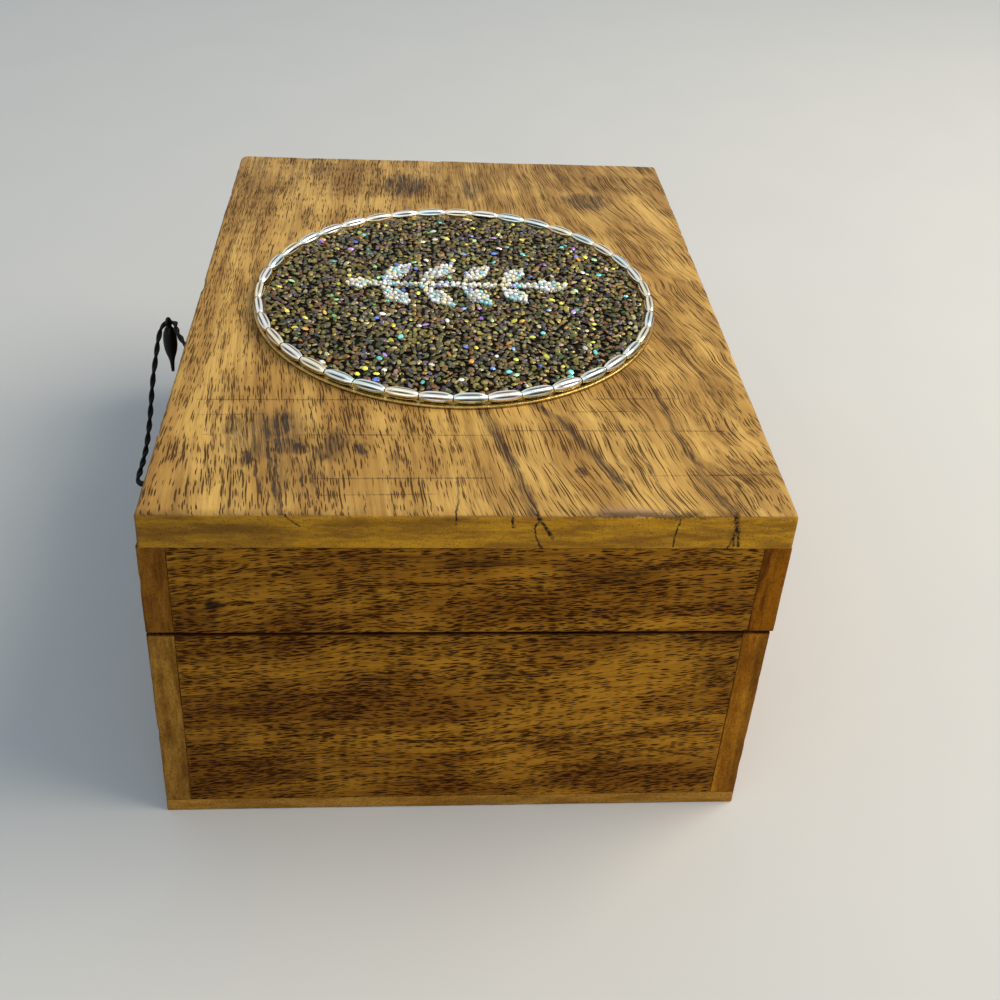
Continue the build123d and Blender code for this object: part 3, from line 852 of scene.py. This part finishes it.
worn_board(
    "bottom_board", "base_bottom", bottom_material, (OUTER, OUTER, 0.4), (OUTER, OUTER, GLUED), 1.3,
)
worn_board(
    "base_near_panel", "base_end_near", panel_material, (GLUED, PARTING, GLUED), (GLUED, INNER, PARTING),
    2.1, step=1.8,
)
worn_board(
    "base_far_panel", "base_end_far", panel_material, (GLUED, INNER, GLUED), (GLUED, PARTING, PARTING), 3.7
)
worn_board(
    "base_clasp_panel", "base_side_clasp", base_clasp_material, (OUTER, OUTER, GLUED),
    (INNER, OUTER, PARTING), 4.9,
)
worn_board(
    "lid_top_board", "lid_board", board_material, (TOP, TOP, GLUED), (TOP, TOP, TOP), 5.2,
    step=1.6, wear=1.2,
)
worn_board(
    "lid_near_rail", "lid_end_near", panel_material, (GLUED, PARTING, PARTING), (GLUED, INNER, GLUED), 6.4,
    step=1.8,
)
worn_board(
    "lid_far_rail", "lid_end_far", panel_material, (GLUED, INNER, PARTING), (GLUED, PARTING, GLUED), 7.5
)
clasp_rail = worn_board(
    "lid_clasp_rail", "lid_side_clasp", lid_clasp_material, (OUTER, OUTER, 0.45), (INNER, OUTER, GLUED), 8.8,
    wear=1.4,
)


def cut(piece, build):
    """Takes the shape that build makes out of a piece."""
    mesh = bpy.data.meshes.new("cutter")
    shape = bmesh.new()
    build(shape)
    shape.to_mesh(mesh)
    shape.free()
    cutter = bpy.data.objects.new("cutter", mesh)
    scene.collection.objects.link(cutter)
    change = piece.modifiers.new("cut", "BOOLEAN")
    change.operation = "DIFFERENCE"
    change.solver = "EXACT"
    change.object = cutter
    graph = bpy.context.evaluated_depsgraph_get()
    mesh = bpy.data.meshes.new_from_object(piece.evaluated_get(graph))
    piece.modifiers.clear()
    old = piece.data
    piece.data = mesh
    bpy.data.meshes.remove(old)
    bpy.data.objects.remove(cutter)
    mesh.set_sharp_from_angle(angle=math.radians(50))


HOLE_X = -60.7
HOLE_R = 1.7
HOLE_DEPTH = 12.0
BARREL_ROOM = 1.8
HINGE_Y = 45.0
HINGE_LENGTH = 19.0
LEAF_REACH = 5.1
LEAF = 0.8
LEAF_GAP = 0.2
OPEN_CUT = 0.5  # how far a cutter passes the face it opens
HINGE_ROOM = 0.3
AXIS_X = 62.9


def bore(shape, centre, radius, length, turn_about):
    """A round cutter, laid down by a quarter turn about an axis."""
    place = Matrix.Translation(Vector(centre) * MM) @ Matrix.Rotation(math.pi / 2, 4, turn_about)
    bmesh.ops.create_cone(
        shape,
        cap_ends=True,
        segments=40,
        radius1=radius * MM,
        radius2=radius * MM,
        depth=length * MM,
        matrix=place,
    )


def cord_hole(shape):
    bore(shape, (HOLE_X, 0, CORD_Z), HOLE_R, HOLE_DEPTH, "Y")


def barrel_room(shape, y):
    """Room for a hinge's barrel."""
    bore(shape, (AXIS_X, y, PARTING_Z), BARREL_ROOM, HINGE_LENGTH + 2 * HINGE_ROOM, "X")


def leaf_seat(shape, y, side):
    """A flat seat for a hinge's leaf, below the parting line for side -1 and above it for side 1."""
    face = PARTING_Z + side * LEAF_GAP
    inner = AXIS_X - LEAF_REACH
    size = Vector((AXIS_X - inner, HINGE_LENGTH, LEAF + OPEN_CUT))
    middle = Vector(((AXIS_X + inner) / 2, y, face + side * (LEAF - OPEN_CUT) / 2))
    place = Matrix.Translation(middle * MM) @ Matrix.Diagonal((*(size * MM), 1))
    bmesh.ops.create_cube(shape, size=1, matrix=place)


cut(clasp_rail, cord_hole)
base_rounding = ((INNER, OUTER, GLUED), (OUTER, OUTER, PARTING))
lid_rounding = ((INNER, OUTER, 0.12), (OUTER, OUTER, GLUED))
for name, node, material, (low, high), seed, side in (
    ("base_hinge_panel", "base_side_hinge", base_hinge_material, base_rounding, 9.1, -1),
    ("lid_hinge_rail", "lid_side_hinge", lid_hinge_material, lid_rounding, 10.6, 1),
):
    panel = worn_board(name, node, material, low, high, seed, wear=0.8)
    for y in (-HINGE_Y, HINGE_Y):
        cut(panel, lambda shape: barrel_room(shape, y))
        cut(panel, lambda shape: leaf_seat(shape, y, side))

# Medallion

OVAL = (47.6, 44.4)
OVAL_AT = (-0.9, -2.3)
FIELD_Z = 84.8
EDGE_PROFILE = [  # distance outside the bead line, and height
    (1.2, 84.0), (1.38, 84.12), (1.42, 84.4), (1.34, 84.68), (1.15, FIELD_Z), (0.5, FIELD_Z), (-20, FIELD_Z),
]
BEADS = 39
BEAD_GAP = 0.1
BEAD_R = 1.3
BEAD_RIBS = 3


def gold_material():
    s = Shader("gold_edge")
    ruck = s.noise(s.place, 0.9, 3.0, 0.6)
    s.shader(Base_Color=s.mix(ruck, linear(200, 172, 104), linear(122, 96, 50)), Metallic=1.0)
    s.shader(Roughness=s.step(ruck, 0.3, 0.7, 0.2, 0.42))
    s.bump(s.noise(s.place, 1.8, 2.0), 0.12)
    return s.material


def tinted(name, metallic, roughness, darkening=0.25, **more):
    """A glossy material whose colour is the mesh's own tint."""
    s = Shader(name)
    tint = s.add("ShaderNodeAttribute", attribute_name="tint")["Color"]
    film = s.noise(s.place, 2.4, 2.0)
    s.shader(Base_Color=s.mix(s.times(film, darkening), tint, linear(60, 52, 40)))
    s.shader(Metallic=metallic, Roughness=s.step(film, 0.3, 0.7, roughness * 0.7, roughness * 1.3), **more)
    s.bump(film, 0.02)
    return s.material


def paint(piece, tints, each):
    """Gives each run of each vertices of a piece its own tint."""
    layer = piece.data.color_attributes.new("tint", "FLOAT_COLOR", "POINT")
    layer.data.foreach_set("color", np.repeat(np.asarray(tints, np.float32), each, axis=0).ravel())


def oval_piece(name, profile, around, material, sharp=None):
    """Rings round the oval from pairs of distance outside the bead line and height."""
    return mesh_piece(name, *turned(profile, (*OVAL_AT, 0.0), around, OVAL), material, sharp=sharp)


backing = oval_piece("medallion_edge", EDGE_PROFILE, 240, gold_material(), sharp=60)
settle(backing, "medallion_backing")


def oval_places(count):
    """Equal steps along the bead line, with the direction at each and their length."""
    t = np.linspace(0, 2 * math.pi, 7201)
    x, y = OVAL[0] * np.cos(t), OVAL[1] * np.sin(t)
    run = np.concatenate([[0], np.cumsum(np.hypot(np.diff(x), np.diff(y)))])
    at = np.interp((np.arange(count) + 0.5) * run[-1] / count, run, t)
    places = np.stack([OVAL_AT[0] + OVAL[0] * np.cos(at), OVAL_AT[1] + OVAL[1] * np.sin(at)], axis=1)
    turn = np.arctan2(OVAL[1] * np.cos(at), -OVAL[0] * np.sin(at))
    return places, turn, run[-1] / count


def make_beads():
    """Long silver beads, ribbed along their length, with painted shade darkening the grooves."""
    places, turns, pitch = oval_places(BEADS)
    half = (pitch - BEAD_GAP) / 2
    along = np.linspace(-1, 1, 23)
    around = np.linspace(0, 2 * math.pi, 48, endpoint=False)
    # Neutral, warm and cool silvers: the warm and cool ones are painted tints for the beads' coloured
    # glints.
    bright = [linear(252, 252, 248), linear(255, 248, 224), linear(236, 250, 250)]
    painted_groove_shade = np.array(linear(34, 40, 40))
    verts, faces, tints = [], [], []
    for place, turn in zip(places, turns):
        roll = random.uniform(-0.35, 0.35)
        stretch = half * random.uniform(0.98, 1.0)
        silver = np.array(random.choice(bright))
        start = len(verts)
        ahead = np.array([math.cos(turn), math.sin(turn), 0.0])
        across = np.array([-math.sin(turn), math.cos(turn), 0.0])
        for v in along:
            body = BEAD_R * (1 - 0.5 * abs(v) ** 3)
            rib = 0.16 * (1 - abs(v) ** 2)
            for a in around:
                crest = abs(math.cos(BEAD_RIBS * (a + roll))) ** 1.2
                r = body * (1 - rib + rib * crest)
                spot = ahead * stretch * v + across * r * math.cos(a) + np.array([0, 0, r * math.sin(a)])
                verts.append((place[0] + spot[0], place[1] + spot[1], FIELD_Z + BEAD_R + spot[2]))
                # Painted shade: the grooves between the ribs are darkened.
                groove = min(1.0, max(0.0, 1.25 - crest / 0.6)) * (1 - abs(v) ** 3)
                tints.append(silver + (painted_groove_shade - silver) * groove)
        n = len(around)
        for i in range(len(along) - 1):
            this, following = start + i * n, start + (i + 1) * n
            for j in range(n):
                m = (j + 1) % n
                faces.append((this + j, following + j, following + m, this + m))
        faces.append(tuple(start + j for j in range(n)))
        faces.append(tuple(start + (len(along) - 1) * n + j for j in reversed(range(n))))
    beads = mesh_piece("medallion_beads", verts, faces, tinted("silver_beads", 1.0, 0.13, 0.1), sharp=60)
    paint(beads, tints, 1)
    return beads


settle(make_beads(), "medallion_rim")

GRAINS = 4300
SPARKLE_SHARE = 0.034
GRAIN_COLOURS = [  # share, then the colour of the glitter's grains
    (0.17, (122, 110, 52)), (0.15, (90, 84, 38)), (0.11, (128, 112, 80)), (0.08, (96, 80, 72)),
    (0.09, (156, 142, 72)), (0.13, (40, 36, 18)), (0.08, (122, 80, 40)), (0.07, (76, 96, 60)),
    (0.05, (94, 84, 106)), (0.04, (176, 170, 124)), (0.03, (70, 76, 86)), (0.02, (150, 112, 56)),
]
SPARKLE_COLOURS = [  # share, then the colour of the bright ones, whose glints are painted into their colour
    (0.30, (255, 250, 96)), (0.18, (255, 253, 236)), (0.12, (120, 232, 228)), (0.10, (160, 242, 156)),
    (0.08, (112, 148, 252)), (0.07, (188, 144, 252)), (0.08, (255, 178, 78)), (0.07, (255, 186, 172)),
]
GRAIN_LEAST = (0.62, 0.48, 0.13)  # half lengths
GRAIN_MOST = (0.95, 0.7, 0.22)
DOME_TOP = 86.15
DOME_FALL = 0.55
FIELD_INSET = 1.75
BED_DEPTH = 0.22
CHIP = [(0.8, -1.0), (1.0, -0.1), (0.62, 1.0)]  # radius and height of a grain's rings of corners
CHIP_SIDES = 6


def dome_height(x, y):
    """The field's surface: nearly flat, falling away towards the beads."""
    u = (x - OVAL_AT[0]) / (OVAL[0] - FIELD_INSET)
    v = (y - OVAL_AT[1]) / (OVAL[1] - FIELD_INSET)
    return DOME_TOP - DOME_FALL * np.clip(np.hypot(u, v), 0, 1) ** 12


def pick(palette, count):
    """A colour for each of count grains, by the palette's shares, some lighter and some darker."""
    shares = np.array([share for share, _ in palette])
    colours = np.array([linear(*colour) for _, colour in palette])
    tints = colours[rng.choice(len(shares), count, p=shares / shares.sum())]
    tints[:, :3] = np.clip(tints[:, :3] * rng.uniform(0.4, 1.7, (count, 1)), 0, 1)
    return tints


def chunks(centres, sizes, tilt, tints, name, material):
    """Many small faceted grains in one mesh, each turned at random. sizes are half lengths."""
    count = len(centres)
    turn = rng.uniform(0, 2 * math.pi, count)
    lean = rng.uniform(0, tilt, count)
    lean_at = rng.uniform(0, 2 * math.pi, count)
    up = np.stack([np.sin(lean) * np.cos(lean_at), np.sin(lean) * np.sin(lean_at), np.cos(lean)], axis=1)
    first = np.stack([np.cos(turn), np.sin(turn), np.zeros(count)], axis=1)
    first -= up * (first * up).sum(1)[:, None]
    first /= np.linalg.norm(first, axis=1)[:, None]
    second = np.cross(up, first)
    ring = [(math.cos(a), math.sin(a)) for a in np.arange(CHIP_SIDES) * 2 * math.pi / CHIP_SIDES]
    corners = [(x * r, y * r, z) for r, z in CHIP for x, y in ring]
    verts = np.stack(
        [
            centres + first * (sizes[:, :1] * x) + second * (sizes[:, 1:2] * y) + up * (sizes[:, 2:] * z)
            for x, y, z in corners
        ],
        axis=1,
    ).reshape(-1, 3)
    faces = []
    for start in range(0, len(verts), len(corners)):
        faces += ring_faces(len(CHIP), CHIP_SIDES, start)
    piece = mesh_piece(name, verts, faces, material, smooth=False)
    paint(piece, tints, len(corners))
    return piece


def make_bed():
    rings = [(-FIELD_INSET, FIELD_Z)]
    for inset in (FIELD_INSET, 2.1, 2.6, 3.4, 5.0, 8.0, 25.0):
        rings.append((-inset, dome_height(OVAL_AT[0] + OVAL[0] - inset, OVAL_AT[1]) - BED_DEPTH))
    s = Shader("glitter_glue")
    s.shader(Base_Color=s.mix(s.noise(s.place, 1.5, 3.0), linear(10, 8, 3), linear(24, 19, 8)))
    s.shader(Roughness=0.8, Specular_IOR_Level=0.1)
    s.bump(s.noise(s.place, 3.0, 2.0), 0.2)
    return oval_piece("glitter_bed", rings, 160, s.material)


def make_grains():
    """Glass grains all over the field, and the few bright ones as a piece of their own."""
    across = int(math.sqrt(GRAINS * 4 / math.pi))
    steps = (np.arange(across) + 0.5) / across * 2 - 1
    u, v = (grid.ravel() + rng.uniform(-0.9, 0.9, across**2) / across for grid in np.meshgrid(steps, steps))
    keep = np.hypot(u, v) < 1.0
    x = OVAL_AT[0] + u[keep] * (OVAL[0] - FIELD_INSET)
    y = OVAL_AT[1] + v[keep] * (OVAL[1] - FIELD_INSET)
    z = dome_height(x, y) + rng.uniform(-0.16, 0.2, len(x))
    places = np.stack([x, y, z], axis=1)
    sizes = rng.uniform(GRAIN_LEAST, GRAIN_MOST, (len(x), 3))
    bright = rng.uniform(0, 1, len(x)) < SPARKLE_SHARE
    sizes[bright, :2] *= 1.05
    places[bright, 2] += 0.12
    dull = ~bright
    tints = pick(GRAIN_COLOURS, dull.sum())
    glass = tinted("glitter", 0.35, 0.3)
    grains = chunks(places[dull], sizes[dull], 0.6, tints, "glitter_grains", glass)
    tints = pick(SPARKLE_COLOURS, bright.sum())
    glass = tinted("glitter_sparkle", 0.2, 0.2, 0.05)
    sparkles = chunks(places[bright], sizes[bright], 0.35, tints, "glitter_sparkles", glass)
    return grains, sparkles


settle(make_bed(), "medallion_field")
for piece in make_grains():
    settle(piece)

SPRIG_AT = (-0.9, 1.2)
SPRIG_REACH = (29.0, 12.0)
SPRIG_STEM = 42.0
STEM_WIDTH = 2.0
LEAF_WIDTH = 5.0
SPRIG_LEAVES = [  # the foot's two places, the direction and the length of each leaf
    (x, side * 0.6, side * 50, length)
    for x, length in ((-19.0, 12.0), (-9.0, 13.0), (1.0, 12.0), (11.0, 10.0))
    for side in (-1, 1)
] + [(17.0, 0, 0, 11.0), (-20.0, 0, 180, 7.0)]
LEAF_PLACES = (0.0, 0.2, 0.45, 0.65, 0.85, 1.0)  # along a leaf, with its half width at each
LEAF_HALVES = (0.0, 0.16, 0.48, 0.5, 0.26, 0.05)
STONE_TRIES = 40000
STONE_GAP = 1.02
STONE_R = 0.61
STONE_Z = 86.95
STONE_RINGS = [(0.8, -0.45), (1.0, 0.0), (0.8, 0.2), (0.45, 0.32)]  # radius and height
STONE_TINTS = [  # the upper limit of each one's share; the rest are grey
    (0.12, (160, 228, 238)), (0.26, (255, 240, 190)), (0.3, (176, 180, 250)), (0.65, (252, 254, 252)),
]
FINE_TRIES = 7000
FINE_Z = (86.3, 86.75)  # the fine grains' lowest and highest places


def in_sprig(x, y, inset):
    """Whether a spot lies inside the sprig's outline by at least inset."""
    u, v = x - SPRIG_AT[0], y - SPRIG_AT[1]
    if abs(u) <= SPRIG_STEM / 2 - inset and abs(v) <= STEM_WIDTH / 2 - inset:
        return True
    for foot_x, foot_y, turn, length in SPRIG_LEAVES:
        c, s = math.cos(math.radians(turn)), math.sin(math.radians(turn))
        along = ((u - foot_x) * c + (v - foot_y) * s) / length
        aside = abs(-(u - foot_x) * s + (v - foot_y) * c)
        if 0 <= along <= 1:
            half = np.interp(along, LEAF_PLACES, LEAF_HALVES) * LEAF_WIDTH
            if aside <= half - inset:
                return True
    return False


def near_sprig():
    """A random place in the rectangle round the sprig."""
    return tuple(random.uniform(at - half, at + half) for at, half in zip(SPRIG_AT, SPRIG_REACH))


def make_stones():
    """Small clear stones packed over the sprig, each a six-sided cup with a flat table."""
    places = []
    for _ in range(STONE_TRIES):
        x, y = near_sprig()
        if in_sprig(x, y, 0.3) and all((x - a) ** 2 + (y - b) ** 2 > STONE_GAP**2 for a, b in places):
            places.append((x, y))
    verts, faces, tints = [], [], []
    for x, y in places:
        start = len(verts)
        r = STONE_R * random.uniform(0.85, 1.1)
        turn = random.uniform(0, math.pi / 3)
        lean = random.uniform(0, 0.32)
        tilt = Matrix.Rotation(lean, 3, Vector((random.uniform(-1, 1), random.uniform(-1, 1), 0.01)))
        for ring_r, z in STONE_RINGS:
            for k in range(6):
                a = turn + k * math.pi / 3
                p = tilt @ Vector((r * ring_r * math.cos(a), r * ring_r * math.sin(a), z))
                verts.append((x + p.x, y + p.y, STONE_Z + p.z))
        faces += ring_faces(len(STONE_RINGS), 6, start)
        kind = random.random()
        tint = next((colour for limit, colour in STONE_TINTS if kind < limit), None)
        if tint is None:
            shade = random.randint(190, 245)
            tint = (shade, shade, shade - 8)
        tints.append(linear(*tint))
    glass = tinted("clear_stones", 0.12, 0.1, 0.04)
    stones = mesh_piece("clear_stone_sprig", verts, faces, glass, smooth=False)
    paint(stones, tints, 6 * len(STONE_RINGS))
    return stones


def make_sprig_bed():
    """The silvery bed that the stones are pressed into: fine grains over the sprig's outline."""
    places = []
    for _ in range(FINE_TRIES):
        x, y = near_sprig()
        if in_sprig(x, y, 0.15):
            places.append((x, y, random.uniform(*FINE_Z)))
    count = len(places)
    sizes = rng.uniform((0.22, 0.16, 0.1), (0.42, 0.3, 0.2), (count, 3))
    tints = [linear(v, v, v * 0.95) for v in rng.uniform(160, 240, count)]
    return chunks(np.array(places), sizes, 0.7, tints, "sprig_bed", tinted("sprig_glitter", 0.4, 0.25, 0.1))


settle(make_stones(), "medallion_sprig")
settle(make_sprig_bed())

# Hinges keep their CAD shapes


def brass_material():
    s = Shader("brass")
    age = s.noise(s.place, 0.35, 4.0, 0.6)
    scratches = s.stretched(s.place, (6, 0.6, 6), 3.0)
    colour = s.mix(s.step(age, 0.35, 0.7), linear(206, 170, 98), linear(136, 104, 56))
    s.shader(Base_Color=colour, Metallic=1.0)
    s.shader(Roughness=s.step(scratches, 0.3, 0.7, 0.26, 0.48))
    s.bump(scratches, 0.03)
    return s.material


brass = brass_material()
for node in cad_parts.values():
    if node.name.startswith("hinge_"):
        if not node.material_slots:
            node.data.materials.append(brass)
        for slot in node.material_slots:
            slot.material = brass

# Floor, light and background

FLOOR = 6000
AIM = (0, 0, 0.06)  # in metres, as are the lamps' places
SKY_LIGHT = (0.7, 0.86, 1.0, 1)
SKY_STRENGTH = 0.46
BACKDROP_LOW = (0.8, 0.79, 0.78, 1)
BACKDROP_HIGH = (0.85, 0.85, 0.83, 1)


def make_floor():
    s = Shader("pale_floor")
    mottle = s.noise(s.place, 0.02, 3.0)
    s.shader(Base_Color=s.mix(mottle, linear(212, 211, 208), linear(206, 206, 205)), Roughness=0.8)
    corners = [(-FLOOR, -FLOOR, 0), (FLOOR, -FLOOR, 0), (FLOOR, FLOOR, 0), (-FLOOR, FLOOR, 0)]
    mesh_piece("floor", corners, [(0, 1, 2, 3)], s.material)


def soft_light(name, at, size, power, colour):
    data = bpy.data.lights.new(name, "AREA")
    data.shape = "DISK"
    data.size = size
    data.energy = power
    data.color = colour
    lamp = bpy.data.objects.new(name, data)
    lamp.location = at
    aim = Vector(AIM) - Vector(at)
    lamp.rotation_euler = aim.to_track_quat("-Z", "Y").to_euler()
    scene.collection.objects.link(lamp)


def make_world():
    """Soft light from all round, with a pale backdrop where it is seen or reflected."""
    world = bpy.data.worlds.new("world")
    world.use_nodes = True
    scene.world = world
    w = Nodes(world.node_tree)
    height = w.split(w.add("ShaderNodeTexCoord")["Generated"])[2]
    dim = w.add("ShaderNodeBackground", SKY_LIGHT, SKY_STRENGTH)[0]
    pale = w.add("ShaderNodeBackground", w.mix(height, BACKDROP_LOW, BACKDROP_HIGH), 1.0)[0]
    rays = w.add("ShaderNodeLightPath")
    seen = w.either([rays[kind] for kind in ("Is Camera Ray", "Is Glossy Ray", "Is Transmission Ray")])
    w.add("ShaderNodeOutputWorld", w.add("ShaderNodeMixShader", seen, dim, pale)[0])


make_floor()
make_world()
soft_light("key", (0.66, -0.02, 0.78), 0.8, 9.6, (1.0, 0.87, 0.69))
soft_light("fill", (-0.2, -1.0, 0.9), 1.6, 3.0, (0.84, 0.92, 1.0))
scene.view_settings.view_transform = "Standard"
